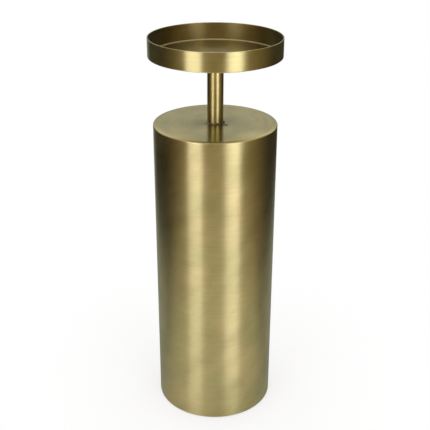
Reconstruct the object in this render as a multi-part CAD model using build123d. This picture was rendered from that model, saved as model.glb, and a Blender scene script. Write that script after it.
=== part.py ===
from build123d import *
from math import pi
import os

# Pillar candle holder in antique brass. A shallow round dish for one pillar candle stands on a thin
# stem, and the stem stands on a tall hollow cylinder, the pillar.
#
# How it is made: every large piece is sheet metal. The pillar is a rolled sheet closed by a seam weld,
# with a disc welded into its mouth and ground flush, and a recessed disc tacked into its foot. The stem
# is a tube that passes through the top disc and a backing plate, brazed above and welded below. The
# dish is a rolled strip soldered round a disc. A flush screw through the dish and a backing washer
# goes into a threaded plug in the stem, so the dish comes off for cleaning. The pillar stands on four
# felt pads.
#
# Frame: millimetres, +Z up. The origin is on the supporting surface, on the axis of the pillar. The
# pillar's seam faces +Y, the back.

# ---- Overall sizes --------------------------------------------------------------------------------
pillar_diameter = 123.0
pillar_height = 315.0  # the pillar's top face above the supporting surface
stem_diameter = 15.9
stem_exposed = 66.5  # from the pillar's top face to the underside of the dish
dish_diameter = 130.0
dish_depth = 18.5  # outside height of the dish

# ---- Pillar ---------------------------------------------------------------------------------------
pillar_sheet = 1.2
pillar_edge_round = 0.8  # outer edge at the top, ground round
pillar_foot_round = 0.4  # outer edge at the foot
top_plate_thickness = 2.0
top_weld_width = 1.4
top_weld_depth = 1.0
seam_width = 4.0
seam_rise = 0.5  # how far the seam weld stands off the inside of the sheet
seam_end_gap = 0.5

# ---- Foot -----------------------------------------------------------------------------------------
base_plate_thickness = 1.5
base_recess = 1.5  # from the pillar's lower edge up to the base plate
tack_leg = 1.2
tack_length = 12.0
tack_count = 4
pad_diameter = 18.0
pad_thickness = 2.5
pad_edge_gap = 6.0  # from a pad to the inside of the pillar sheet
pad_count = 4

# ---- Stem -----------------------------------------------------------------------------------------
stem_wall = 1.5
stem_tail = 4.0  # how far the tube runs on below the backing plate
backing_plate_diameter = 48.0
backing_plate_thickness = 3.0
foot_braze_leg = 1.8
stem_weld_leg = 2.5
plug_length = 14.0

# ---- Dish -----------------------------------------------------------------------------------------
dish_sheet = 1.2
dish_rim_round = 0.35
dish_foot_round = 0.8
solder_leg = 1.3
solder_depth = 0.5  # how deep the solder runs into the prepared edge of the floor
washer_diameter = 34.0
washer_thickness = 2.2

# ---- Dish screw, M6 countersunk with a hexagon socket -----------------------------------------------
screw_diameter = 6.0
screw_length = 16.0
screw_head_diameter = 11.3
screw_head_land = 0.3
screw_tip_chamfer = 0.6
screw_sunk = 0.1  # the head's flat top lies this far under the dish floor
socket_across_flats = 4.0
socket_depth = 2.2

# ---- Clearances and limits ------------------------------------------------------------------------
sheet_gap = 0.05  # between a disc and the sheet that it sits in
tube_gap = 0.05  # between the stem and what it passes through or holds
screw_gap = 0.05
bead_hollow = 0.12  # how far the face of a bead dips, as a share of its leg
edge_round_share = 0.8  # an edge round or a tack takes at most this share of what it is on

# ---- Worked out from the sizes above ----------------------------------------------------------------
pillar_radius = pillar_diameter / 2
pillar_inner = pillar_radius - pillar_sheet
stem_radius = stem_diameter / 2
stem_bore = stem_radius - stem_wall
dish_radius = dish_diameter / 2
dish_inner = dish_radius - dish_sheet

base_plate_bottom = pad_thickness
base_plate_top = base_plate_bottom + base_plate_thickness
pillar_bottom = base_plate_bottom - base_recess
top_plate_bottom = pillar_height - top_plate_thickness
backing_plate_bottom = top_plate_bottom - backing_plate_thickness
stem_bottom = backing_plate_bottom - stem_tail
dish_bottom = pillar_height + stem_exposed
stem_top = dish_bottom - washer_thickness
floor_top = dish_bottom + dish_sheet
rim_height = dish_bottom + dish_depth
screw_top = floor_top - screw_sunk
screw_cone_height = (screw_head_diameter - screw_diameter) / 2  # a 90 degree head


def turned(outline, arc=360.0):
    """A solid of revolution about Z. The outline is a list of (radius, height) corners."""
    return revolve(Plane.XZ * make_face(Polyline(*outline, close=True)), Axis.Z, arc)


def disc(radius, bottom, thickness):
    """A round plate on the Z axis."""
    return Pos(0, 0, bottom) * Cylinder(radius, thickness, align=(Align.CENTER, Align.CENTER, Align.MIN))


def tube(outer, inner, bottom, top):
    """A round tube on the Z axis."""
    return disc(outer, bottom, top - bottom) - disc(inner, bottom, top - bottom)


def circle_edges(part, radius, height):
    """The circular edges of a part with this radius at this height."""
    return [
        edge
        for edge in part.edges().filter_by(GeomType.CIRCLE)
        if abs(edge.radius - radius) < 1e-3 and abs(edge.arc_center.Z - height) < 1e-3
    ]


def edge_round(radius, sheet):
    """The radius of an edge round, limited by the sheet that it is on."""
    return min(radius, edge_round_share * sheet)


def bead(radius, height, outwards, upwards, leg, arc=360.0):
    """A weld or braze bead with a hollow face, in the corner at this radius and height."""
    corner = Vector(radius, height)
    along = Vector(radius + outwards * leg, height)
    across = Vector(radius, height + upwards * leg)
    middle = (along + across) * 0.5
    dip = (corner - middle).normalized() * (bead_hollow * leg)
    face = make_face([Line(corner, along), ThreePointArc(along, middle + dip, across), Line(across, corner)])
    return revolve(Plane.XZ * face, Axis.Z, arc)


def screw_form(gap, bottom, top):
    """The countersunk screw's outer form, grown by a radial gap."""
    head = screw_head_diameter / 2 + gap
    shank = screw_diameter / 2 + gap
    cone_top = screw_top - screw_head_land
    cone_bottom = cone_top - screw_cone_height
    return turned([(0, bottom), (shank, bottom), (shank, cone_bottom), (head, cone_top), (head, top), (0, top)])


def screw_space():
    """The room that the screw takes, for cutting what it passes through."""
    return screw_form(screw_gap, stem_bottom, floor_top)


# ---- Pillar ---------------------------------------------------------------------------------------
def make_pillar_shell():
    shell = tube(pillar_radius, pillar_inner, pillar_bottom, pillar_height)
    top_round = edge_round(pillar_edge_round, pillar_sheet)
    foot_round = edge_round(pillar_foot_round, pillar_sheet)
    shell = fillet(circle_edges(shell, pillar_radius, pillar_height), top_round)
    return fillet(circle_edges(shell, pillar_radius, pillar_bottom), foot_round)


def make_pillar_top_plate():
    edge = pillar_inner - sheet_gap
    prepared = top_weld_depth * (top_weld_width - sheet_gap) / top_weld_width
    plate = turned(
        [
            (0, top_plate_bottom),
            (edge, top_plate_bottom),
            (edge, pillar_height - prepared),
            (pillar_inner - top_weld_width, pillar_height),
            (0, pillar_height),
        ]
    )
    return plate - disc(stem_radius + tube_gap, top_plate_bottom, top_plate_thickness)


def make_top_edge_weld():
    return turned(
        [
            (pillar_inner, pillar_height - top_weld_depth),
            (pillar_inner, pillar_height),
            (pillar_inner - top_weld_width, pillar_height),
        ]
    )


def make_shell_seam_weld():
    bottom = base_plate_top + seam_end_gap
    top = top_plate_bottom - seam_end_gap
    ring = tube(pillar_inner, pillar_inner - seam_rise, bottom, top)
    strip = Pos(0, pillar_inner, (bottom + top) / 2) * Box(seam_width, 2 * seam_width, top - bottom)
    return ring & strip


# ---- Foot -----------------------------------------------------------------------------------------
def make_base_plate():
    return disc(pillar_inner - sheet_gap, base_plate_bottom, base_plate_thickness)


def make_base_tack_welds():
    arc = tack_length / (2 * pi * pillar_inner) * 360
    leg = min(tack_leg, edge_round_share * base_recess)
    tack = bead(pillar_inner, base_plate_bottom, -1, -1, leg, arc)
    first = 180 / tack_count - arc / 2
    return Part() + [Rot(0, 0, first + n * 360 / tack_count) * tack for n in range(tack_count)]


def make_felt_pads():
    pad_radius = pad_diameter / 2
    pad = disc(pad_radius, 0, pad_thickness)
    ring = pillar_inner - pad_edge_gap - pad_radius
    return Part() + [place * pad for place in PolarLocations(ring, pad_count)]


# ---- Stem -----------------------------------------------------------------------------------------
def make_stem_tube():
    return tube(stem_radius, stem_bore, stem_bottom, stem_top)


def make_stem_plug():
    return disc(stem_bore - tube_gap, stem_top - plug_length, plug_length) - screw_space()


def make_stem_backing_plate():
    plate = disc(backing_plate_diameter / 2, backing_plate_bottom, backing_plate_thickness)
    return plate - disc(stem_radius + tube_gap, backing_plate_bottom, backing_plate_thickness)


def make_stem_foot_braze():
    return bead(stem_radius, pillar_height, 1, 1, foot_braze_leg)


def make_stem_inner_weld():
    return bead(stem_radius, backing_plate_bottom, 1, -1, min(stem_weld_leg, stem_tail))


# ---- Dish -----------------------------------------------------------------------------------------
def make_dish_wall():
    wall = tube(dish_radius, dish_inner, dish_bottom, rim_height)
    rim_round = edge_round(dish_rim_round, dish_sheet / 2)
    foot_round = edge_round(dish_foot_round, dish_sheet)
    rim = circle_edges(wall, dish_radius, rim_height) + circle_edges(wall, dish_inner, rim_height)
    wall = fillet(rim, rim_round)
    return fillet(circle_edges(wall, dish_radius, dish_bottom), foot_round)


def make_dish_floor():
    edge = dish_inner - sheet_gap
    prepared = solder_depth * (solder_leg - sheet_gap) / solder_leg
    floor = turned(
        [
            (0, dish_bottom),
            (edge, dish_bottom),
            (edge, floor_top - prepared),
            (dish_inner - solder_leg, floor_top),
            (0, floor_top),
        ]
    )
    return floor - screw_space()


def make_dish_solder():
    corner = Vector(dish_inner, floor_top - solder_depth)
    inner_edge = Vector(dish_inner - solder_leg, floor_top)
    upper_edge = Vector(dish_inner, floor_top + solder_leg)
    middle = (inner_edge + upper_edge) * 0.5
    dip = Vector(1, -1).normalized() * (bead_hollow * solder_leg)
    outline = [
        Line(corner, inner_edge),
        ThreePointArc(inner_edge, middle + dip, upper_edge),
        Line(upper_edge, corner),
    ]
    return revolve(Plane.XZ * make_face(outline), Axis.Z, 360)


def make_dish_backing_washer():
    return disc(washer_diameter / 2, stem_top, washer_thickness) - screw_space()


def make_dish_screw():
    tip = screw_top - screw_length
    screw = screw_form(0, tip, screw_top)
    screw = chamfer(circle_edges(screw, screw_diameter / 2, tip), screw_tip_chamfer)
    hexagon = RegularPolygon(socket_across_flats / 2, 6, major_radius=False)
    return screw - Pos(0, 0, screw_top) * extrude(hexagon, -socket_depth)


nodes = {
    "pillar_shell": make_pillar_shell(),
    "pillar_top_plate": make_pillar_top_plate(),
    "top_edge_weld": make_top_edge_weld(),
    "shell_seam_weld": make_shell_seam_weld(),
    "base_plate": make_base_plate(),
    "base_tack_welds": make_base_tack_welds(),
    "felt_pads": make_felt_pads(),
    "stem_tube": make_stem_tube(),
    "stem_plug": make_stem_plug(),
    "stem_backing_plate": make_stem_backing_plate(),
    "stem_foot_braze": make_stem_foot_braze(),
    "stem_inner_weld": make_stem_inner_weld(),
    "dish_wall": make_dish_wall(),
    "dish_floor": make_dish_floor(),
    "dish_solder": make_dish_solder(),
    "dish_backing_washer": make_dish_backing_washer(),
    "dish_screw": make_dish_screw(),
}

os.makedirs("parts", exist_ok=True)
for name, shape in nodes.items():
    export_step(shape, os.path.join("parts", name + ".step"))
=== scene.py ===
"""The looks of a pillar candle holder in antique brass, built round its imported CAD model.

The file is laid out as a Blender add-on: each piece has an operator, and the panel lists them. Sizes
are in metres and come from the CAD model. The pillar's axis is +Z and the front faces -Y.
"""

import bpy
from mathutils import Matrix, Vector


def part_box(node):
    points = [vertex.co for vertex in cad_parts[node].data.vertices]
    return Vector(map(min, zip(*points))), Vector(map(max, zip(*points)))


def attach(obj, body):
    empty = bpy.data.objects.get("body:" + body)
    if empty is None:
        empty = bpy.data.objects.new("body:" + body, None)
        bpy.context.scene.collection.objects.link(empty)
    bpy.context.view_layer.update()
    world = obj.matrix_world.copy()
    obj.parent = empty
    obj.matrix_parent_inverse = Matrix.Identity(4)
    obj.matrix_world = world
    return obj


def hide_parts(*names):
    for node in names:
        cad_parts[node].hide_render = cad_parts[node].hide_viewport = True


bl_info = {
    "name": "Pillar Candle Holder",
    "version": (1, 0, 0),
    "blender": (4, 5, 0),
    "location": "View3D > Sidebar > Candle Holder",
    "description": "Makes a brass candle holder: a tall pillar, a thin stem and a shallow dish",
    "category": "Add Mesh",
}

import math

import bmesh
import bpy
from bpy.props import FloatProperty, FloatVectorProperty, IntProperty, PointerProperty
from mathutils import Matrix, Vector

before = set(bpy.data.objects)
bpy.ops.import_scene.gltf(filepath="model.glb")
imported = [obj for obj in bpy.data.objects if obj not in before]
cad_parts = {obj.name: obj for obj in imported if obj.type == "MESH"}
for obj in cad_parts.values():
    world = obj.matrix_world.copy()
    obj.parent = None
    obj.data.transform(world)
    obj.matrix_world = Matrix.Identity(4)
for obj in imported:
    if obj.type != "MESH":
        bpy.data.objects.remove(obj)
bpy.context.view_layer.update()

MM = 0.001
BODY = "root"

# Segments round a turned piece.
WIDE, DISC, BEAD, TUBE, SMALL = 256, 192, 160, 128, 96

# The pitch of the brass's brushed lines, and the scales of its other patterns per metre: the patina's
# clouds and spots, the haze that hands leave, and slanting wipes, across them, in depth and along them.
COARSE_PITCH, FINE_PITCH = 2.4 * MM, 0.45 * MM
CLOUDS, SPOTS, HAZE = 17.0, 48.0, 36.0
WIPES_ACROSS, WIPES_DEEP, WIPES_ALONG = 42.0, 12.0, 9.0


# ---- Sizes that come from the CAD model ----
def foot_of(node):
    """The height of a CAD node's lowest point."""
    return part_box(node)[0].z


def top_of(node):
    """The height of a CAD node's highest point."""
    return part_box(node)[1].z


def radius_of(node):
    """How far a CAD node reaches from the axis along +X."""
    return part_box(node)[1].x


def step_between(outer, inner):
    """How much further a CAD node reaches from the axis than another."""
    return radius_of(outer) - radius_of(inner)


def span_of(node):
    """The heights of a CAD node's lowest and highest points."""
    return foot_of(node), top_of(node)


# ---- Settings ----
def length(label, description, default):
    """A property for a length in metres."""
    return FloatProperty(name=label, description=description, default=default, unit="LENGTH", precision=5)


def colour(label, description, default):
    """A property for a linear colour, which is opaque."""
    return FloatVectorProperty(
        name=label, description=description, default=(*default, 1), size=4, subtype="COLOR", min=0, max=1
    )


def angle(label, description, default):
    """A property for an angle, given here in degrees."""
    turn = math.radians(default)
    return FloatProperty(name=label, description=description, default=turn, subtype="ANGLE")


def amount(label, description, default):
    """A property for a plain number."""
    return FloatProperty(name=label, description=description, default=default, min=0)


class PillarSettings(bpy.types.PropertyGroup):
    """Sizes of the pillar, the tall cylinder."""

    radius: length("Radius", "Outside radius of the shell", radius_of("pillar_shell"))
    sheet: length("Sheet", "Thickness of the shell", step_between("pillar_shell", "top_edge_weld"))
    edge_round: length("Edge Round", "Radius ground on the upper edge", 1.15 * MM)
    foot_round: length("Foot Round", "Radius of the lower edge", 0.4 * MM)
    weld_width: length("Weld Width", "Width of the ground weld round the top plate", 2.4 * MM)
    weld_fall: length("Weld Fall", "How far grinding lowered the weld's edge", 0.34 * MM)
    hole_gap: length("Hole Gap", "Gap between the stem and the plate's hole", 0.05 * MM)


class StemSettings(bpy.types.PropertyGroup):
    """Sizes of the stem and the braze at its foot."""

    radius: length("Radius", "Outside radius of the tube", radius_of("stem_tube"))
    wall: length("Wall", "Wall thickness of the tube", 1.5 * MM)
    braze_lumps: length("Braze Lumps", "Range of the lumps on the braze", 1.65 * MM)
    braze_lump_size: length("Braze Lump Size", "Distance between lumps of the braze", 2.6 * MM)


class DishSettings(bpy.types.PropertyGroup):
    """Sizes of the dish."""

    radius: length("Radius", "Outside radius of the dish", radius_of("dish_wall"))
    sheet: length("Sheet", "Thickness of the wall", step_between("dish_wall", "dish_solder"))
    rim_round: length("Rim Round", "Radius of the two rim edges", 0.4 * MM)
    foot_round: length("Foot Round", "Radius of the wall's lower edge", 0.8 * MM)
    solder_leg: length("Solder Leg", "Width of the solder in the inner corner", 0.8 * MM)
    screw_gap: length("Screw Gap", "Gap round the head of the screw", 0.05 * MM)


class FootSettings(bpy.types.PropertyGroup):
    """Sizes of the pillar's underside."""

    pad_radius: length("Pad Radius", "Radius of a felt pad", 9 * MM)
    pad_round: length("Pad Round", "Radius of a felt pad's edges", 0.5 * MM)
    pad_count: IntProperty(name="Pads", description="Number of felt pads", default=4, min=3)
    tack_count: IntProperty(name="Tacks", description="Number of tack welds", default=4, min=2)
    tack_length: length("Tack Length", "Length of a tack weld", 12 * MM)
    tack_ripples: IntProperty(name="Ripples", description="Ripples on a tack weld", default=7, min=1)


class FinishSettings(bpy.types.PropertyGroup):
    """Colours and texture of the metals and the felt."""

    brass: colour("Brass", "Brushed brass where it is clean", (0.51, 0.422, 0.208))
    olive: colour("Olive", "Brass where the patina is green", (0.46, 0.402, 0.19))
    umber: colour("Umber", "Brass where the patina is brown", (0.42, 0.32, 0.15))
    # The next colour is lighter brass, for patina taken off by handling and for painted highlights.
    bare_and_highlight: colour("Bare", "Brass where the patina is worn off", (0.7395, 0.6119, 0.3016))
    # Painted shade: the next two colours darken and brown the dish's inside wall, the second more so at
    # its left and right ends.
    inside_shade: colour("Dull", "How brown the dish is inside", (0.78, 0.71, 0.66))
    end_shade: colour("Dull Ends", "How brown it is at the left and right", (0.36, 0.33, 0.3))
    scorch: colour("Scorch", "Metal darkened by brazing heat", (0.075, 0.052, 0.027))
    solder: colour("Solder", "Solder in the dish", (0.43, 0.38, 0.24))
    steel: colour("Steel", "Mild steel of the hidden plates", (0.40, 0.39, 0.37))
    heat: colour("Heat", "Weld metal coloured by heat", (0.16, 0.15, 0.16))
    felt: colour("Felt", "Wool felt of the pads", (0.045, 0.036, 0.03))
    coarse_streaks: amount("Coarse Streaks", "Strength of the widest brushed lines", 0.3)
    fine_streaks: amount("Fine Streaks", "Strength of the finest brushed lines", 0.16)


class StageSettings(bpy.types.PropertyGroup):
    """The camera, the lights and the floor."""

    camera_back: length("Camera Back", "From the axis forwards to the camera", 0.7619)
    camera_height: length("Camera Height", "Height of the camera", 0.5674)
    camera_tilt: angle("Camera Tilt", "How far the camera looks down", 24.894)
    camera_roll: angle("Camera Roll", "Turn of the camera about its line of sight", 0.164)
    lens: amount("Lens", "Focal length in millimetres on a 36 mm sensor", 67.526)
    softbox_distance: length("Softbox Distance", "From the axis to each front softbox", 1.45)
    softbox_low: length("Softbox Low", "Lower edge of the front softboxes", 0.02)
    softbox_high: length("Softbox High", "Upper edge of the front softboxes", 0.66)
    left_bearing: angle("Left Bearing", "Left softbox, from the front", -35.3)
    right_bearing: angle("Right Bearing", "Right softbox, from the front", 32.6)
    left_width: length("Left Width", "Width of the left softbox", 0.66)
    right_width: length("Right Width", "Width of the right softbox", 0.7)
    left_glow: amount("Left Glow", "Radiance of the left softbox", 5.9)
    right_glow: amount("Right Glow", "Radiance of the right softbox", 6.5)
    left_lean: angle("Left Lean", "Lean of the left softbox to the right", 1)
    right_lean: angle("Right Lean", "Lean of the right softbox to the right", 18)
    softbox_tint: colour("Softbox Tint", "Daylight colour of the front softboxes", (0.83, 0.85, 1.0))
    overhead_size: length("Overhead Size", "Width of the overhead softbox", 2.8)
    overhead_glow: amount("Overhead Glow", "Radiance of the overhead softbox", 1.15)
    room: colour("Room", "The wooden room in front, in reflections", (0.42, 0.32, 0.165))
    gloom: colour("Gloom", "The room's dark sides, in reflections", (0.046, 0.037, 0.026))
    screen: colour("Screen", "The pale screen behind, in reflections", (0.47, 0.47, 0.40))
    screen_top: colour("Screen Top", "The lit upper part of the screen", (1.0, 0.98, 0.9))
    ceiling: colour("Ceiling", "The ceiling, in reflections", (0.36, 0.34, 0.29))
    table: colour("Table", "The paper in front, in reflections", (0.76, 0.77, 0.69))
    # Painted shade: how much darker the paper's colour is at the sides and behind the holder.
    paper_side_shade: amount("Table Side", "Brightness of the paper at the sides", 0.57)
    table_gloss: amount("Table Gloss", "Specular level of the paper", 0.92)
    table_blur: amount("Table Blur", "Roughness of the paper", 0.3)
    near_blur: amount("Near Blur", "Added roughness of the paper next to the holder", 0.4)
    floor: colour("Floor", "The pale floor", (0.92, 0.92, 0.915))
    shadow: amount("Shadow", "How dark the holder's shadow on the floor is", 0.38)
    white: colour("White", "The backdrop far behind", (1.0, 1.0, 1.0))


class HolderSettings(bpy.types.PropertyGroup):
    """All settings of the candle holder."""

    pillar: PointerProperty(type=PillarSettings)
    stem: PointerProperty(type=StemSettings)
    dish: PointerProperty(type=DishSettings)
    foot: PointerProperty(type=FootSettings)
    finish: PointerProperty(type=FinishSettings)
    stage: PointerProperty(type=StageSettings)


def settings():
    """The scene's candle holder settings."""
    return bpy.context.scene.candle_holder


# ---- Node trees ----
class Value:
    """The output of a node. Python's operators on it add Math nodes."""

    def __init__(self, tree, socket):
        self.tree = tree
        self.socket = socket

    def maths(self, operation, *values):
        """A Math node on these values, or on this one alone."""
        sockets = dict(enumerate(values or (self,)))
        return self.tree.add("ShaderNodeMath", {"operation": operation}, sockets)


def overload(name, operation):
    """Gives Value one of Python's operators and its reflected form."""
    setattr(Value, f"__{name}__", lambda self, other: self.maths(operation, self, other))
    setattr(Value, f"__r{name}__", lambda self, other: self.maths(operation, other, self))


for sign, operation in (
    ("add", "ADD"),
    ("sub", "SUBTRACT"),
    ("mul", "MULTIPLY"),
    ("truediv", "DIVIDE"),
    ("pow", "POWER"),
    ("mod", "FLOORED_MODULO"),
):
    overload(sign, operation)


class Tree:
    """A node tree of a material or of a Geometry Nodes modifier."""

    def __init__(self, nodes):
        self.nodes = nodes

    def add(self, kind, options=None, sockets=None, output=0):
        """Adds a node: its options first, then its sockets' values or links. Gives one output."""
        made = self.nodes.nodes.new(kind)
        for name, value in (options or {}).items():
            setattr(made, name, value)
        for name, value in (sockets or {}).items():
            if isinstance(value, Value):
                self.nodes.links.new(value.socket, made.inputs[name])
            else:
                made.inputs[name].default_value = value
        return Value(self, made.outputs[output]) if len(made.outputs) else made

    def noise(self, vector, scale, detail=3.0, seed=0.0, roughness=0.55):
        """Noise of about 0 to 1, with 0.5 in the middle."""
        sockets = {"Vector": vector, "W": seed, "Scale": scale, "Detail": detail, "Roughness": roughness}
        return self.add("ShaderNodeTexNoise", {"noise_dimensions": "4D"}, sockets)

    def smooth(self, value, low, high):
        """0 at low and under, 1 at high and over, with a smooth step between."""
        sockets = {"Value": value, "From Min": low, "From Max": high}
        return self.add("ShaderNodeMapRange", {"interpolation_type": "SMOOTHSTEP"}, sockets)

    def stretch(self, vector, scale):
        """A vector times a vector."""
        return self.add("ShaderNodeVectorMath", {"operation": "MULTIPLY"}, {0: vector, 1: scale})

    def join(self, x, y, z):
        """A vector from three values."""
        return self.add("ShaderNodeCombineXYZ", {}, {"X": x, "Y": y, "Z": z})

    def part(self, vector, name):
        """One component of a vector: X, Y or Z."""
        return self.add("ShaderNodeSeparateXYZ", {}, {0: vector}, name)

    def blend(self, share, first, second, way="MIX"):
        """Two colours mixed, or blended in another way."""
        options = {"data_type": "RGBA", "blend_type": way}
        return self.add("ShaderNodeMix", options, {0: share, 6: first, 7: second}, 2)

    def times(self, first, second):
        """Two colours multiplied, or a colour and a value."""
        return self.blend(1.0, first, second, "MULTIPLY")


def emptied(block):
    """The maker of the tree of a material or a world, with nothing in it yet."""
    block.use_nodes = True
    block.node_tree.nodes.clear()
    return Tree(block.node_tree)


# ---- Geometry Nodes ----
def geometry_tree(name, inputs):
    """A Geometry Nodes tree with named inputs, a dictionary of their kinds. Gives the tree and them."""
    group = bpy.data.node_groups.new(name, "GeometryNodeTree")
    group.interface.new_socket("Geometry", in_out="INPUT", socket_type="NodeSocketGeometry")
    group.interface.new_socket("Geometry", in_out="OUTPUT", socket_type="NodeSocketGeometry")
    for label, kind in inputs.items():
        group.interface.new_socket(label, in_out="INPUT", socket_type="NodeSocket" + kind)
    tree = Tree(group)
    entry = group.nodes.new("NodeGroupInput")
    named = {socket.name: Value(tree, socket) for socket in entry.outputs if socket.name}
    return tree, named


def bent_grid(tree, columns, rows, spot):
    """A grid one metre wide whose points move to spot, with its seams and poles closed."""
    sockets = {"Size X": 1.0, "Size Y": 1.0, "Vertices X": columns, "Vertices Y": rows}
    grid = tree.add("GeometryNodeMeshGrid", {}, sockets)
    grid = tree.add("GeometryNodeSetPosition", {}, {"Geometry": grid, "Position": spot})
    return tree.add("GeometryNodeMergeByDistance", {}, {"Geometry": grid, "Distance": 0.002 * MM})


def end_tree(tree, geometry, material):
    """Ends a Geometry Nodes tree: smooth faces, no instances, one material."""
    geometry = tree.add("GeometryNodeSetShadeSmooth", {}, {"Geometry": geometry})
    geometry = tree.add("GeometryNodeRealizeInstances", {}, {"Geometry": geometry})
    geometry = tree.add("GeometryNodeSetMaterial", {}, {"Geometry": geometry, "Material": material})
    tree.add("NodeGroupOutput", {}, {"Geometry": geometry})
    return tree.nodes


def turned_tree():
    """Turns an outline in the XZ plane about the Z axis, and roughens it with lumps where asked."""
    inputs = {"Segments": "Int", "Closed Outline": "Int", "Material": "Material"}
    inputs |= dict.fromkeys(("Lump Height", "Lump Scale", "Seed"), "Float")
    tree, named = geometry_tree("Turned Piece", inputs)
    outline = named["Geometry"]
    count = tree.add("GeometryNodeAttributeDomainSize", {"component": "MESH"}, {"Geometry": outline})
    rows = count + named["Closed Outline"]
    place = tree.add("GeometryNodeInputPosition")
    turn = (tree.part(place, "X") + 0.5) * math.tau
    row = (tree.part(place, "Y") + 0.5) * (rows - 1)
    point = row.maths("ROUND") % count
    sampling = {"data_type": "FLOAT_VECTOR"}
    sockets = {"Geometry": outline, "Value": place, "Index": point}
    corner = tree.add("GeometryNodeSampleIndex", sampling, sockets)
    reach = tree.part(corner, "X")
    spot = tree.join(reach * turn.maths("COSINE"), reach * turn.maths("SINE"), tree.part(corner, "Z"))
    solid = bent_grid(tree, named["Segments"] + 1, rows, spot)
    lumps = tree.noise(place, named["Lump Scale"], 2.0, named["Seed"]) - 0.5
    outwards = tree.add("GeometryNodeInputNormal")
    sockets = {0: outwards, "Scale": lumps * named["Lump Height"]}
    push = tree.add("ShaderNodeVectorMath", {"operation": "SCALE"}, sockets)
    solid = tree.add("GeometryNodeSetPosition", {}, {"Geometry": solid, "Offset": push})
    return end_tree(tree, solid, named["Material"])


def ring_tree():
    """Puts evenly spaced copies of a piece round the Z axis."""
    inputs = {"Count": "Int", "First Angle": "Float", "Material": "Material"}
    tree, named = geometry_tree("Ring Of Copies", inputs)
    points = tree.add("GeometryNodePoints", {}, {"Count": named["Count"]})
    index = tree.add("GeometryNodeInputIndex")
    turn = named["First Angle"] + index * math.tau / named["Count"]
    sockets = {"Points": points, "Instance": named["Geometry"], "Rotation": tree.join(0.0, 0.0, turn)}
    copies = tree.add("GeometryNodeInstanceOnPoints", {}, sockets)
    return end_tree(tree, copies, named["Material"])


def weld_tree():
    """A rippled weld bead along an arc, in the corner between a floor above and a wall outside."""
    inputs = dict.fromkeys(("Radius", "Height", "Leg", "Arc Length", "Ripples"), "Float")
    inputs["Material"] = "Material"
    blunt_ends, ripple_depth = 0.35, 0.07
    tree, named = geometry_tree("Tack Weld", inputs)
    place = tree.add("GeometryNodeInputPosition")
    along = tree.part(place, "X") + 0.5
    round_bead = (tree.part(place, "Y") + 0.5) * math.tau
    swell = (along * math.pi).maths("SINE") ** blunt_ends
    ripple = along * named["Ripples"] * math.tau
    fat = named["Leg"] * 0.5 * swell * (1 - ripple_depth + ripple_depth * ripple.maths("COSINE"))
    turn = (along - 0.5) * named["Arc Length"] / named["Radius"]
    reach = named["Radius"] - named["Leg"] * 0.5 + fat * round_bead.maths("COSINE")
    height = named["Height"] - named["Leg"] * 0.5 + fat * round_bead.maths("SINE")
    spot = tree.join(reach * turn.maths("COSINE"), reach * turn.maths("SINE"), height)
    columns, rows = 97, 13
    bead = bent_grid(tree, columns, rows, spot)
    return end_tree(tree, bead, named["Material"])


def grown(piece, group, values):
    """Runs a Geometry Nodes tree on a piece and turns the result into its plain mesh."""
    modifier = piece.modifiers.new(group.name, "NODES")
    modifier.node_group = group
    for item in group.interface.items_tree:
        if item.in_out == "INPUT" and item.name in values:
            modifier[item.identifier] = values[item.name]
    graph = bpy.context.evaluated_depsgraph_get()
    made = bpy.data.meshes.new_from_object(piece.evaluated_get(graph), depsgraph=graph)
    piece.modifiers.remove(modifier)
    made.name = piece.name
    piece.data = made
    return piece


def tidied(piece, sharp=35):
    """Merges doubled points, turns the faces outwards and marks the sharp edges."""
    work = bmesh.new()
    work.from_mesh(piece.data)
    bmesh.ops.remove_doubles(work, verts=work.verts, dist=0.001 * MM)
    bmesh.ops.recalc_face_normals(work, faces=work.faces)
    work.to_mesh(piece.data)
    work.free()
    piece.data.shade_smooth()
    piece.data.set_sharp_from_angle(angle=math.radians(sharp))
    return piece


# ---- Shapes ----
def corner_arc(before, corner, after, radius, steps):
    """The points of an arc that rounds one corner of an outline."""
    back = (before - corner).normalized()
    ahead = (after - corner).normalized()
    half = back.angle(ahead) / 2
    centre = corner + (back + ahead).normalized() * (radius / math.sin(half))
    start = corner + back * (radius / math.tan(half)) - centre
    end = corner + ahead * (radius / math.tan(half)) - centre
    sweep = start.angle_signed(end)
    return [centre + Matrix.Rotation(-sweep * n / steps, 2) @ start for n in range(steps + 1)]


def outline_of(corners, closed=True, steps=6, guard=0.25 * MM):
    """An outline of (radius, height) points. A corner's third number rounds it. Long runs get a guard
    point near each end, which keeps the shading of the flats apart from that of the rounds."""
    places = [Vector(corner[:2]) for corner in corners]
    points = []
    for n, corner in enumerate(corners):
        inside = closed or 0 < n < len(corners) - 1
        if len(corner) > 2 and inside:
            after = places[(n + 1) % len(places)]
            points += corner_arc(places[n - 1], places[n], after, corner[2], steps)
        else:
            points.append(places[n])
    guarded = []
    for n, point in enumerate(points):
        guarded.append(point)
        if n == len(points) - 1 and not closed:
            break
        run = points[(n + 1) % len(points)] - point
        if run.length > 4 * guard:
            step = run.normalized() * guard
            guarded += [point + step, point + run - step]
    return guarded


def put(name, data):
    """A new object in the scene."""
    made = bpy.data.objects.new(name, data)
    bpy.context.scene.collection.objects.link(made)
    return made


def new_piece(name, places, edges, faces):
    """An object with a mesh, at the origin."""
    mesh = bpy.data.meshes.new(name)
    mesh.from_pydata(places, edges, faces)
    return put(name, mesh)


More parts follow.
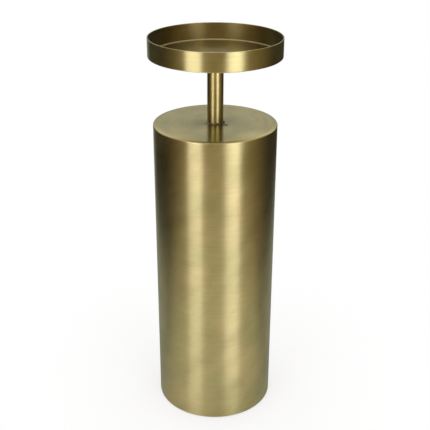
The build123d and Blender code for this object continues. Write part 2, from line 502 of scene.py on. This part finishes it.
def turned(name, corners, material, segments, closed=True, lumps=0.0, lump_size=1.0, seed=0.0):
    """A piece turned about the Z axis from its outline."""
    points = outline_of(corners, closed)
    places = [(point.x, 0, point.y) for point in points]
    edges = [(n, n + 1) for n in range(len(points) - 1)]
    piece = new_piece(name, places, edges, [])
    values = {
        "Segments": segments,
        "Closed Outline": int(closed),
        "Lump Height": lumps,
        "Lump Scale": 1 / lump_size,
        "Seed": seed,
        "Material": material,
    }
    return tidied(grown(piece, tree_named("Turned Piece", turned_tree), values))


def tree_named(name, make):
    """A Geometry Nodes tree, made when it is first asked for."""
    return bpy.data.node_groups.get(name) or make()


def fitted(piece, slot, *nodes):
    """Puts a finished piece on the body, in place of CAD nodes."""
    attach(piece, BODY)
    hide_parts(*nodes)
    return piece


# ---- Finishes ----
def new_finish(name):
    """An empty material, the maker of its tree and the point on the piece, in metres."""
    material = bpy.data.materials.new(name)
    tree = emptied(material)
    return material, tree, tree.add("ShaderNodeTexCoord", {}, {}, "Object")


def end_finish(material, tree, sockets):
    """Gives a material its surface."""
    surface = tree.add("ShaderNodeBsdfPrincipled", {}, sockets)
    tree.add("ShaderNodeOutputMaterial", {}, {"Surface": surface})
    return material


def from_axis(tree, place):
    """The distance from the Z axis."""
    x = tree.part(place, "X")
    y = tree.part(place, "Y")
    return (x * x + y * y) ** 0.5


def brush_lines(tree, place, flat, pitch):
    """The place, stretched so that noise on it runs round the axis: on walls or on flat discs."""
    if not flat:
        return tree.stretch(place, (26.0, 26.0, 1 / pitch))
    reach = from_axis(tree, place)
    x = tree.part(place, "X") / (reach + 1e-4)
    y = tree.part(place, "Y") / (reach + 1e-4)
    return tree.join(reach / pitch, x * 1.6, y * 1.6)


def bumped(tree, height, strength, depth):
    """A bumped normal."""
    sockets = {"Strength": strength, "Distance": depth, "Height": height}
    return tree.add("ShaderNodeBump", {}, sockets)


def brushed_brass(
    name, flat=False, roughness=0.33, grain=0.85, tint=(1, 1, 1), wear_and_highlight=(), scorched=(), painted_highlights=(),
    inside=0.0, relief=0.09, uneven=0.22, seed=1.0,
):
    """Antique brass brushed round the axis, on walls or on flat discs.

    worn is a list of (place, width, strength), the heights on a wall or radii on a disc where the metal
    is lighter: partly patina that handling has taken off, partly a painted highlight along the edges.
    scorched adds the stains of brazing, and rubbed adds painted highlights, light patches that stand for
    reflections of the softboxes: both are lists of (x, y, radius, strength). Metal nearer to the axis
    than inside is darkened and browned as painted shade, more so at the left and right ends. tint is the
    cast of this piece's patina, and uneven is how patchy it is.
    """
    look = settings().finish
    material, tree, place = new_finish(name)
    height = tree.part(place, "Z")
    across = tree.part(place, "X")
    reach = from_axis(tree, place)
    coarse = tree.noise(brush_lines(tree, place, flat, COARSE_PITCH), 1.0, 5.0, seed, 0.62)
    fine = tree.noise(brush_lines(tree, place, flat, FINE_PITCH), 1.0, 3.0, seed + 1)
    clouds = tree.noise(place, CLOUDS, 3.0, seed + 2)
    spots = tree.noise(tree.stretch(place, (1.0, 1.0, 0.7)), SPOTS, 4.0, seed + 3)
    deep = tree.part(place, "Y") * WIPES_DEEP
    slant = tree.join((across - height) * WIPES_ACROSS, deep, (across + height) * WIPES_ALONG)
    wipes = tree.noise(slant, 1.0, 2.0, seed + 4)
    haze = tree.noise(place, HAZE, 2.0, seed + 5)

    tone = tree.blend(tree.smooth(clouds, 0.40, 0.62), look.brass, look.olive)
    tone = tree.blend(tree.smooth(spots, 0.5, 0.78) * 0.55, tone, look.umber)
    streaks = 1 + (coarse - 0.5) * look.coarse_streaks + (fine - 0.5) * look.fine_streaks
    streaks = streaks * (1 + (haze - 0.5 + (wipes - 0.5) * 2) * uneven)
    tone = tree.times(tree.times(tone, streaks), (*tint, 1.0))
    rough = roughness + (coarse - 0.5) * 0.10 + (wipes - 0.5) * 0.14 + (spots - 0.5) * 0.06

    # Painted shade: metal nearer to the axis than inside is darkened and browned, more so at the left and
    # right ends.
    if inside:
        seam = 0.1 * MM
        shaded_inside = 1 - tree.smooth(reach, inside - seam, inside + seam)
        shaded_ends = tree.smooth(across.maths("ABSOLUTE") / inside, 0.5, 0.95)
        inside_shade = tree.blend(shaded_ends * 0.9, look.inside_shade, look.end_shade)
        tone = tree.blend(shaded_inside, tone, tree.times(tone, inside_shade))
        rough = rough + shaded_inside * 0.08
    # Lighter bands along edges: patina taken off by handling, and partly a painted highlight.
    for middle, width, strength in wear_and_highlight:
        away = (reach if flat else height) - middle
        away = away.maths("ABSOLUTE")
        wear_and_highlight_share = 1 - tree.smooth(away + (coarse - 0.5) * width * 0.35, width * 0.15, width)
        tone = tree.blend(wear_and_highlight_share * strength, tone, look.bare_and_highlight)
        rough = rough + wear_and_highlight_share * strength * 0.11
    patches = [(*patch, 0.9, look.scorch) for patch in scorched]
    # The second list gives painted highlights: light patches that stand for reflections.
    patches += [(*patch, 0.35, look.bare_and_highlight) for patch in painted_highlights]
    for x, y, spread, strength, ragged, metal in patches:
        offset = tree.add("ShaderNodeVectorMath", {"operation": "SUBTRACT"}, {0: place, 1: (x, y, 0.0)})
        away = from_axis(tree, offset) + ((spots - 0.5) * ragged + (clouds - 0.5) * 0.5) * spread
        share = (1 - tree.smooth(away, spread * 0.1, spread)) * strength
        tone = tree.blend(share, tone, metal)
        rough = rough + share * 0.12

    sockets = {
        "Base Color": tone,
        "Metallic": 1.0,
        "Roughness": rough,
        "Anisotropic": grain,
        "Anisotropic Rotation": 0.25,
        "Specular Tint": (0.86, 0.95, 1.0, 1.0),
        "Normal": bumped(tree, coarse * 0.6 + fine * 0.4, relief, 0.05 * MM),
    }
    return end_finish(material, tree, sockets)


def braze_finish():
    """Brazing metal left as it cooled: pitted, brighter on the left and scorched on the right."""
    look = settings().finish
    material, tree, place = new_finish("braze_scorched")
    crust = tree.noise(place, 520.0, 4.0, 11.0)
    spots = tree.noise(place, 900.0, 2.0, 12.0)
    lean = 13.0
    bright = tree.smooth(crust - tree.part(place, "X") * lean, 0.5, 0.66)
    tone = tree.blend(bright, look.scorch, look.umber)
    sockets = {
        "Base Color": tone,
        "Metallic": bright * 0.6 + 0.35,
        "Roughness": 0.62 - bright * 0.22,
        "Normal": bumped(tree, crust + spots * 0.5, 0.7, 0.3 * MM),
    }
    return end_finish(material, tree, sockets)


def solder_finish():
    """Soft solder wiped smooth and brushed with the dish."""
    look = settings().finish
    material, tree, place = new_finish("solder_wiped")
    flow = tree.noise(place, 160.0, 3.0, 21.0)
    tone = tree.blend(tree.smooth(flow, 0.42, 0.7), look.solder, look.brass)
    sockets = {
        "Base Color": tone,
        "Metallic": 1.0,
        "Roughness": 0.42 + flow * 0.16,
        "Normal": bumped(tree, flow, 0.2, 0.2 * MM),
    }
    return end_finish(material, tree, sockets)


def steel_finish(name, stained, seed):
    """Mild steel sheet with the marks of turning, and some rust where it is stained."""
    look = settings().finish
    material, tree, place = new_finish(name)
    marks = tree.noise(brush_lines(tree, place, True, 0.8 * MM), 1.0, 4.0, seed)
    patches = tree.noise(place, 55.0, 4.0, seed + 1)
    specks = tree.noise(place, 420.0, 2.0, seed + 2)
    rust = tree.smooth(patches + (specks - 0.5) * 0.3, 0.56, 0.7) * stained
    tone = tree.times(look.steel, 0.85 + marks * 0.3)
    tone = tree.blend(rust, tone, look.umber)
    sockets = {
        "Base Color": tone,
        "Metallic": 1.0 - rust * 0.7,
        "Roughness": 0.36 + (marks - 0.5) * 0.2 + rust * 0.3,
        "Normal": bumped(tree, marks + specks * 0.3, 0.25, 0.06 * MM),
    }
    return end_finish(material, tree, sockets)


def weld_finish():
    """Steel weld metal with the blue and straw colours of heat."""
    look = settings().finish
    material, tree, place = new_finish("weld_heat_tinted")
    heat = tree.noise(place, 240.0, 2.0, 41.0)
    pits = tree.noise(place, 1500.0, 2.0, 42.0)
    tone = tree.blend(tree.smooth(heat, 0.4, 0.65), look.heat, look.steel)
    sockets = {
        "Base Color": tone,
        "Metallic": 1.0,
        "Roughness": 0.34 + pits * 0.2,
        "Normal": bumped(tree, heat + pits * 0.4, 0.4, 0.12 * MM),
    }
    return end_finish(material, tree, sockets)


def felt_finish():
    """Pressed wool felt: a mat of fibres, with a soft sheen."""
    look = settings().finish
    material, tree, place = new_finish("felt_wool")
    fibres = tree.noise(tree.stretch(place, (1.0, 2.6, 1.0)), 1500.0, 3.0, 51.0)
    crossing = tree.noise(tree.stretch(place, (2.8, 1.0, 1.3)), 1300.0, 3.0, 52.0)
    tufts = tree.noise(place, 260.0, 3.0, 53.0)
    mat = fibres * 0.5 + crossing * 0.5
    tone = tree.times(look.felt, 0.45 + mat * 0.9 + (tufts - 0.5) * 0.5)
    sockets = {
        "Base Color": tone,
        "Metallic": 0.0,
        "Roughness": 0.92,
        "Sheen Weight": 0.5,
        "Sheen Roughness": 0.6,
        "Normal": bumped(tree, mat + tufts * 0.4, 0.8, 0.25 * MM),
    }
    return end_finish(material, tree, sockets)


# ---- Operators: the pillar ----
class PieceOperator:
    """What every operator here shares. They run in the order in which they stand."""

    bl_options = {"REGISTER", "UNDO"}


class CANDLE_OT_pillar_shell(PieceOperator, bpy.types.Operator):
    """Make the rolled shell of the pillar"""

    bl_idname = "candle_holder.pillar_shell"
    bl_label = "Pillar Shell"

    def execute(self, context):
        size = settings().pillar
        low, high = span_of("pillar_shell")
        inner = size.radius - size.sheet
        corners = [
            (inner, low, 0.15 * MM),
            (size.radius, low, size.foot_round),
            (size.radius, high - size.weld_fall, size.edge_round),
            (inner, high - size.weld_fall),
        ]
        # Lighter bands at the foot and the top edge: patina taken off by handling, and partly a painted
        # highlight.
        wear_and_highlight = [(low, 1.2 * MM, 0.4), (high, 1.9 * MM, 0.75)]
        finish = brushed_brass("brass_pillar", wear_and_highlight=wear_and_highlight)
        fitted(turned("pillar_shell_rolled", corners, finish, WIDE), "pillar_brass", "pillar_shell")
        return {"FINISHED"}


class CANDLE_OT_pillar_top(PieceOperator, bpy.types.Operator):
    """Make the pillar's top plate and the ground weld round it"""

    bl_idname = "candle_holder.pillar_top"
    bl_label = "Pillar Top"

    def execute(self, context):
        size = settings().pillar
        stem = settings().stem.radius
        low, high = span_of("pillar_top_plate")
        weld_low = foot_of("top_edge_weld")
        inner = size.radius - size.sheet
        seam = inner - size.weld_width
        edge = radius_of("pillar_top_plate")
        stains = [
            (0, 0, 26 * MM, 0.3),
            (-17 * MM, -3 * MM, 25 * MM, 0.34),
            (13 * MM, 5 * MM, 13 * MM, 0.25),
            (9.8 * MM, -8 * MM, 6 * MM, 1.0),
            (-9 * MM, -6 * MM, 4.5 * MM, 0.35),
            (0, -1 * MM, 12 * MM, 0.75),
        ]
        # Painted highlights: two light patches at the plate's front left and front right stand for
        # reflections of the front softboxes, whose light the plate doesn't get.
        painted_highlights = [(37 * MM, -50 * MM, 30 * MM, 1.0), (-36 * MM, -48 * MM, 21 * MM, 0.5)]
        # Lighter rings inside the weld and at the edge: patina taken off by handling, and partly a
        # painted highlight.
        wear_and_highlight = [(inner, 11 * MM, 0.16), (size.radius, 2.6 * MM, 0.4)]
        finish = brushed_brass(
            "brass_top", True, 0.23, 0.5, (1.03, 1.0, 1.02), wear_and_highlight, stains, painted_highlights,
            relief=0.04, uneven=0.32, seed=5.0,
        )
        plate = [
            (stem + size.hole_gap, low),
            (edge, low),
            (edge, weld_low),
            (seam, high),
            (stem + size.hole_gap, high),
        ]
        weld = [(inner, weld_low), (inner, high - size.weld_fall), (seam, high)]
        fitted(turned("pillar_top_disc", plate, finish, DISC), "pillar_brass", "pillar_top_plate")
        fitted(turned("pillar_top_weld", weld, finish, WIDE), "pillar_brass", "top_edge_weld")
        return {"FINISHED"}


class CANDLE_OT_stem(PieceOperator, bpy.types.Operator):
    """Make the stem"""

    bl_idname = "candle_holder.stem"
    bl_label = "Stem"

    def execute(self, context):
        size = settings().stem
        low, high = span_of("stem_tube")
        bore = size.radius - size.wall
        corners = [(bore, low), (size.radius, low, 0.2 * MM), (size.radius, high, 0.2 * MM), (bore, high)]
        finish = brushed_brass("brass_stem", False, 0.37, 0.66, (0.98, 0.98, 0.84), relief=0.03, seed=9.0)
        fitted(turned("stem_tube_drawn", corners, finish, TUBE), "stem_brass", "stem_tube")
        return {"FINISHED"}


class CANDLE_OT_stem_braze(PieceOperator, bpy.types.Operator):
    """Make the uneven braze round the stem's foot"""

    bl_idname = "candle_holder.stem_braze"
    bl_label = "Stem Braze"

    def execute(self, context):
        size = settings().stem
        low, high = span_of("stem_foot_braze")
        out = radius_of("stem_foot_braze") - size.radius
        spread, rise, hollow = 0.97 * out, 0.55 * (high - low), 0.42
        sunk = 0.4 * MM
        foot = 0.1 * MM
        corners = [
            (size.radius - sunk, low - sunk),
            (size.radius + spread, low - sunk),
            (size.radius + spread, low + foot),
            (size.radius + hollow * spread, low + hollow * rise, 0.3 * MM),
            (size.radius, low + rise),
            (size.radius - sunk, low + rise),
        ]
        lumps = (size.braze_lumps, size.braze_lump_size, 7.0)
        piece = turned("stem_foot_braze_run", corners, braze_finish(), BEAD, True, *lumps)
        fitted(piece, "braze", "stem_foot_braze")
        return {"FINISHED"}


# ---- Operators: the dish ----
class CANDLE_OT_dish_wall(PieceOperator, bpy.types.Operator):
    """Make the rolled wall of the dish"""

    bl_idname = "candle_holder.dish_wall"
    bl_label = "Dish Wall"

    def execute(self, context):
        size = settings().dish
        low, high = span_of("dish_wall")
        inner = size.radius - size.sheet
        corners = [
            (inner, low),
            (size.radius, low, size.foot_round),
            (size.radius, high, size.rim_round),
            (inner, high, size.rim_round),
        ]
        # Lighter bands at the foot and the rim: patina taken off by handling, and partly a painted
        # highlight.
        wear_and_highlight = [(low, 1.2 * MM, 0.5), (high, 0.9 * MM, 0.15)]
        # The inside of the wall gets painted shade, darker at its left and right ends.
        finish = brushed_brass(
            "brass_dish_wall", False, 0.35, 0.9, (0.93, 0.96, 0.88), wear_and_highlight,
            inside=inner + 0.3 * MM, relief=0.08, seed=13.0,
        )
        fitted(turned("dish_wall_rolled", corners, finish, WIDE), "dish_brass", "dish_wall")
        return {"FINISHED"}


class CANDLE_OT_dish_floor(PieceOperator, bpy.types.Operator):
    """Make the floor of the dish, with its countersunk hole, and the solder round it"""

    bl_idname = "candle_holder.dish_floor"
    bl_label = "Dish Floor"

    def execute(self, context):
        size = settings().dish
        low, high = span_of("dish_floor")
        edge = radius_of("dish_floor")
        inner, leg = size.radius - size.sheet, size.solder_leg
        seam = inner - leg
        head = radius_of("dish_screw") + size.screw_gap
        land = 0.3 * MM
        sunk = high - top_of("dish_screw") + land
        corners = [
            (head - (high - low - sunk), low),
            (edge, low),
            (edge, foot_of("dish_solder")),
            (seam, high),
            (head, high, 0.08 * MM),
            (head, high - sunk),
        ]
        throat = (seam + 0.56 * leg, high + 0.44 * leg, 0.9 * MM)
        solder = [(inner, foot_of("dish_solder")), (inner, high + leg), throat, (seam, high)]
        pale = (1.33, 1.33, 1.46)
        finish = brushed_brass("brass_dish_floor", True, 0.22, 0.2, pale, relief=0.04, seed=17.0)
        fitted(turned("dish_floor_disc", corners, finish, DISC), "dish_brass", "dish_floor")
        fitted(turned("dish_solder_run", solder, solder_finish(), WIDE), "solder", "dish_solder")
        return {"FINISHED"}


class CANDLE_OT_dish_screw(PieceOperator, bpy.types.Operator):
    """Make the countersunk socket screw that holds the dish"""

    bl_idname = "candle_holder.dish_screw"
    bl_label = "Dish Screw"

    def execute(self, context):
        low, high = span_of("dish_screw")
        head = radius_of("dish_screw")
        shank, pitch, groove, tip = 3.0 * MM, 1.0 * MM, 0.45 * MM, 0.6 * MM
        flats, deep, point = 2.0 * MM, 2.2 * MM, 0.7 * MM
        land, edge, bevel, bevel_depth = 0.3 * MM, 0.06 * MM, 0.16 * MM, 0.14 * MM
        cone = high - land - (head - shank)
        rings = [(0, low, 0), (shank - tip, low, 0), (shank, low + tip, 0)]
        turns = int((cone - low - 2 * tip) / pitch)
        for n in range(turns):
            crest = low + tip + n * pitch
            rings += [(shank, crest + 0.15 * pitch, 0), (shank - groove, crest + 0.5 * pitch, 0)]
            rings += [(shank, crest + 0.85 * pitch, 0)]
        rings += [(shank, cone, 0), (head, high - land, 0), (head, high - edge, 0)]
        rings += [(head - edge, high, 0), (flats + bevel, high, 1), (flats, high - bevel_depth, 1)]
        rings += [(flats, high - deep, 1), (0, high - deep - point, 0)]
        piece = ringed("dish_screw_socket", rings, 72)
        finish = brushed_brass("brass_screw", True, 0.34, 0.3, (0.7, 0.68, 0.64), seed=23.0)
        piece.data.materials.append(finish)
        fitted(tidied(piece, 25), "screw_steel", "dish_screw")
        return {"FINISHED"}


def ringed(name, rings, segments):
    """A closed piece from (radius, height, sides) rings. Sides is 1 for a hexagon, whose radius is that
    of its flats, and 0 for a circle."""
    places = []
    for reach, height, hexagonal in rings:
        for n in range(segments):
            turn = math.tau * n / segments
            from_flat = (turn + math.pi / 6) % (math.pi / 3) - math.pi / 6
            out = reach / math.cos(from_flat) if hexagonal else reach
            places.append((out * math.cos(turn), out * math.sin(turn), height))
    faces = []
    for ring in range(len(rings) - 1):
        first = ring * segments
        for n in range(segments):
            after = (n + 1) % segments
            faces.append((first + n, first + after, first + segments + after, first + segments + n))
    return new_piece(name, places, [], faces)


class CANDLE_OT_dish_washer(PieceOperator, bpy.types.Operator):
    """Make the backing washer under the dish"""

    bl_idname = "candle_holder.dish_washer"
    bl_label = "Backing Washer"

    def execute(self, context):
        low, high = span_of("dish_backing_washer")
        edge = radius_of("dish_backing_washer")
        hole = 3.05 * MM
        corners = [(hole, low, 0.1 * MM), (edge, low, 0.35 * MM), (edge, high, 0.15 * MM), (hole, high)]
        finish = brushed_brass("brass_washer", True, 0.36, 0.4, (0.82, 0.8, 0.75), seed=27.0)
        fitted(turned("dish_washer_turned", corners, finish, TUBE), "plate_steel", "dish_backing_washer")
        return {"FINISHED"}


# ---- Operators: the underside ----
class CANDLE_OT_base(PieceOperator, bpy.types.Operator):
    """Make the base plate in the pillar's foot and its tack welds"""

    bl_idname = "candle_holder.base"
    bl_label = "Base Plate"

    def execute(self, context):
        size = settings().foot
        low, high = span_of("base_plate")
        edge = radius_of("base_plate")
        corners = [(0, low), (edge, low, 0.2 * MM), (edge, high, 0.2 * MM), (0, high)]
        finish = steel_finish("steel_base", 0.6, 31.0)
        plate = turned("base_plate_disc", corners, finish, DISC, False)
        fitted(plate, "plate_steel", "base_plate")
        pillar = settings().pillar
        finish = weld_finish()
        tack = new_piece("base_tack_beads", [], [], [])
        values = {
            "Radius": pillar.radius - pillar.sheet,
            "Height": low,
            "Leg": top_of("base_tack_welds") - foot_of("base_tack_welds"),
            "Arc Length": size.tack_length,
            "Ripples": float(size.tack_ripples),
            "Material": finish,
        }
        grown(tack, tree_named("Tack Weld", weld_tree), values)
        first = math.pi / size.tack_count
        values = {"Count": size.tack_count, "First Angle": first, "Material": finish}
        grown(tack, tree_named("Ring Of Copies", ring_tree), values)
        fitted(tidied(tack, 60), "weld_steel", "base_tack_welds")
        return {"FINISHED"}


class CANDLE_OT_felt_pads(PieceOperator, bpy.types.Operator):
    """Make the felt pads"""

    bl_idname = "candle_holder.felt_pads"
    bl_label = "Felt Pads"

    def execute(self, context):
        size = settings().foot
        low, high = span_of("felt_pads")
        ring = radius_of("felt_pads") - size.pad_radius
        finish = felt_finish()
        corners = [(0, low), (size.pad_radius, low, size.pad_round)]
        corners += [(size.pad_radius, high, size.pad_round), (0, high)]
        pad = turned("felt_pads_cut", corners, finish, SMALL, False)
        pad.data.transform(Matrix.Translation((ring, 0, 0)))
        values = {"Count": size.pad_count, "First Angle": 0.0, "Material": finish}
        grown(pad, tree_named("Ring Of Copies", ring_tree), values)
        fitted(tidied(pad), "felt", "felt_pads")
        return {"FINISHED"}


class CANDLE_OT_inside(PieceOperator, bpy.types.Operator):
    """Finish the pieces inside the pillar and the stem, which keep their CAD shapes"""

    bl_idname = "candle_holder.inside"
    bl_label = "Inside Pieces"

    def execute(self, context):
        steel = steel_finish("steel_inside", 0.2, 61.0)
        weld = braze_finish()
        for node, finish in (
            ("stem_plug", steel),
            ("stem_backing_plate", steel),
            ("stem_inner_weld", weld),
            ("shell_seam_weld", weld),
        ):
            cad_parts[node].material_slots[0].material = finish
        return {"FINISHED"}


# ---- Operator: the stage ----
def softbox(name, place, target, width, height, glow, tint=(1.0, 1.0, 1.0), lean=0.0):
    """A rectangular light of an even radiance, which shows in the metal and not to the camera."""
    light = bpy.data.lights.new(name, "AREA")
    light.shape = "RECTANGLE"
    light.size = width
    light.size_y = height
    light.energy = glow * math.pi * width * height
    light.color = tint[:3]
    box = put(name, light)
    box.visible_camera = False
    place = Vector(place)
    facing = (Vector(target) - place).to_track_quat("-Z", "Y").to_matrix().to_4x4()
    box.matrix_world = Matrix.Translation(place) @ facing @ Matrix.Rotation(-lean, 4, "Z")
    return box


def flagged(name, pieces):
    """A collection that keeps a softbox's light off some pieces, as a flag beside it would."""
    group = bpy.data.collections.new(name)
    for piece in pieces:
        group.objects.link(bpy.data.objects[piece])
    for member in group.collection_objects:
        member.light_linking.link_state = "EXCLUDE"
    return group


def bearing(turn, distance, height):
    """A place at an angle from the front, seen from above, and a distance from the axis."""
    return Vector((math.sin(turn) * distance, -math.cos(turn) * distance, height))


def paper_finish():
    """Satin paper, in which the softboxes show. Its colour is darker at the sides and behind the holder,
    as painted shade.
    """
    look = settings().stage
    material, tree, place = new_finish("stage_paper")
    side, front = 0.03, -0.09
    far, close = 0.22, 0.08
    # Painted shade: the paper's colour is full only in front of the holder and darker elsewhere.
    ahead = tree.smooth(tree.part(place, "Y"), side, front)
    shade = look.paper_side_shade + ahead * (1 - look.paper_side_shade)
    near = tree.smooth(from_axis(tree, place), far, close)
    sockets = {
        "Base Color": tree.times(look.table, shade),
        "Roughness": look.table_blur + near * look.near_blur,
        "Specular IOR Level": look.table_gloss,
    }
    return end_finish(material, tree, sockets)


def floor_finish():
    """A pale floor with the holder's shadow near it, which fades to an even white."""
    look = settings().stage
    material, tree, place = new_finish("stage_floor")
    close, far = 0.05, 0.34
    away = 1 - look.shadow * (1 - tree.smooth(from_axis(tree, place), close, far))
    black = (0.0, 0.0, 0.0, 1.0)
    sockets = {
        "Base Color": tree.blend(away, look.floor, black),
        "Roughness": 1.0,
        "Specular IOR Level": 0.0,
        "Emission Color": tree.blend(away, black, look.white),
        "Emission Strength": 1.0,
    }
    return end_finish(material, tree, sockets)


def room_light(look):
    """A dim room round the stage: warm in front, dark at the sides, with a pale screen behind.

    ahead is -1 straight in front of the holder and 1 straight behind it, and up is the sine of the angle
    above the horizon.
    """
    world = bpy.data.worlds.new("room")
    tree = emptied(world)
    way = tree.add("ShaderNodeTexCoord", {}, {}, "Generated")
    twist = 0.11
    ahead = (tree.part(way, "Y") - tree.part(way, "X") * twist) / (from_axis(tree, way) + 1e-4)
    up = tree.part(way, "Z")
    # The warm front fades towards the back and upwards.
    warm = tree.smooth(ahead, 0.5, -0.9) * (1 - tree.smooth(up, 0.0, 0.5) * 0.5)
    tone = tree.blend(warm, look.gloom, look.room)
    # The screen reaches down to the floor in the middle, and less far beside it.
    low = tree.smooth(ahead, 0.88, 0.97)
    behind = low + (1 - low) * tree.smooth(ahead, 0.3, 0.65) * tree.smooth(up, 0.05, 0.3)
    screen = tree.blend(tree.smooth(up, 0.28, 0.46), look.screen, look.screen_top)
    tone = tree.blend(behind, tone, screen)
    # The ceiling lies over everything.
    tone = tree.blend(tree.smooth(up, 0.45, 0.75), tone, look.ceiling)
    glow = tree.add("ShaderNodeBackground", {}, {"Color": tone})
    tree.add("ShaderNodeOutputWorld", {}, {"Surface": glow})
    return world


class CANDLE_OT_stage(PieceOperator, bpy.types.Operator):
    """Make the pale floor, the soft lights and the camera"""

    bl_idname = "candle_holder.stage"
    bl_label = "Stage"

    def execute(self, context):
        scene = context.scene
        look = settings().stage

        left, right = -0.35, 0.34
        front, back = -0.55, 0.6
        lift = 0.3 * MM
        corners = [(left, front, lift), (right, front, lift), (right, back, lift), (left, back, lift)]
        paper = new_piece("stage_paper", corners, [], [(0, 1, 2, 3)])
        paper.data.materials.append(paper_finish())
        paper.visible_camera = paper.visible_diffuse = paper.visible_shadow = False

        wall, bend = 6.0, 1.5
        sweep = [(0, 0), (3.5, 0), (wall, 0, bend), (wall, wall)]
        floor = turned("stage_floor", sweep, floor_finish(), SMALL, False)
        floor.visible_glossy = False

        tall_box = look.softbox_high - look.softbox_low
        level = (look.softbox_high + look.softbox_low) / 2
        middle = (0, 0, level)
        shaded = flagged("flagged_from_softboxes", ("pillar_top_disc", "pillar_top_weld"))
        for name, turn, width, glow, lean in (
            ("softbox_left", look.left_bearing, look.left_width, look.left_glow, look.left_lean),
            ("softbox_right", look.right_bearing, look.right_width, look.right_glow, look.right_lean),
        ):
            place = bearing(turn, look.softbox_distance, level)
            box = softbox(name, place, middle, width, tall_box, glow, look.softbox_tint, lean)
            box.light_linking.receiver_collection = shaded
        above, below = (0, 0.2, 2.4), (0, 0, 0.2)
        wide = look.overhead_size
        softbox("softbox_overhead", above, below, wide, wide, look.overhead_glow)
        scene.world = room_light(look)

        lens = bpy.data.cameras.new("camera")
        lens.sensor_width = 36.0
        lens.lens = look.lens
        camera = put("camera", lens)
        tilt = Matrix.Rotation(math.pi / 2 - look.camera_tilt, 4, "X")
        roll = Matrix.Rotation(look.camera_roll, 4, "Z")
        camera.matrix_world = Matrix.Translation((0, -look.camera_back, look.camera_height)) @ tilt @ roll
        scene.camera = camera
        scene.view_settings.view_transform = "Standard"
        return {"FINISHED"}


# ---- Panel and registration ----
OPERATORS = tuple(PieceOperator.__subclasses__())


class CANDLE_PT_holder(bpy.types.Panel):
    """Lists the pieces of the candle holder"""

    bl_idname = "CANDLE_PT_holder"
    bl_label = "Pillar Candle Holder"
    bl_space_type = "VIEW_3D"
    bl_region_type = "UI"
    bl_category = "Candle Holder"

    def draw(self, context):
        for operator in OPERATORS:
            self.layout.operator(operator.bl_idname)


PARTS = (PillarSettings, StemSettings, DishSettings, FootSettings, FinishSettings, StageSettings)
CLASSES = (*PARTS, HolderSettings, *OPERATORS, CANDLE_PT_holder)


def register():
    for each in CLASSES:
        bpy.utils.register_class(each)
    bpy.types.Scene.candle_holder = PointerProperty(type=HolderSettings)


def unregister():
    del bpy.types.Scene.candle_holder
    for each in reversed(CLASSES):
        bpy.utils.unregister_class(each)


def main():
    register()
    for operator in OPERATORS:
        getattr(bpy.ops.candle_holder, operator.bl_idname.split(".")[1])()


if __name__ == "__main__":
    main()
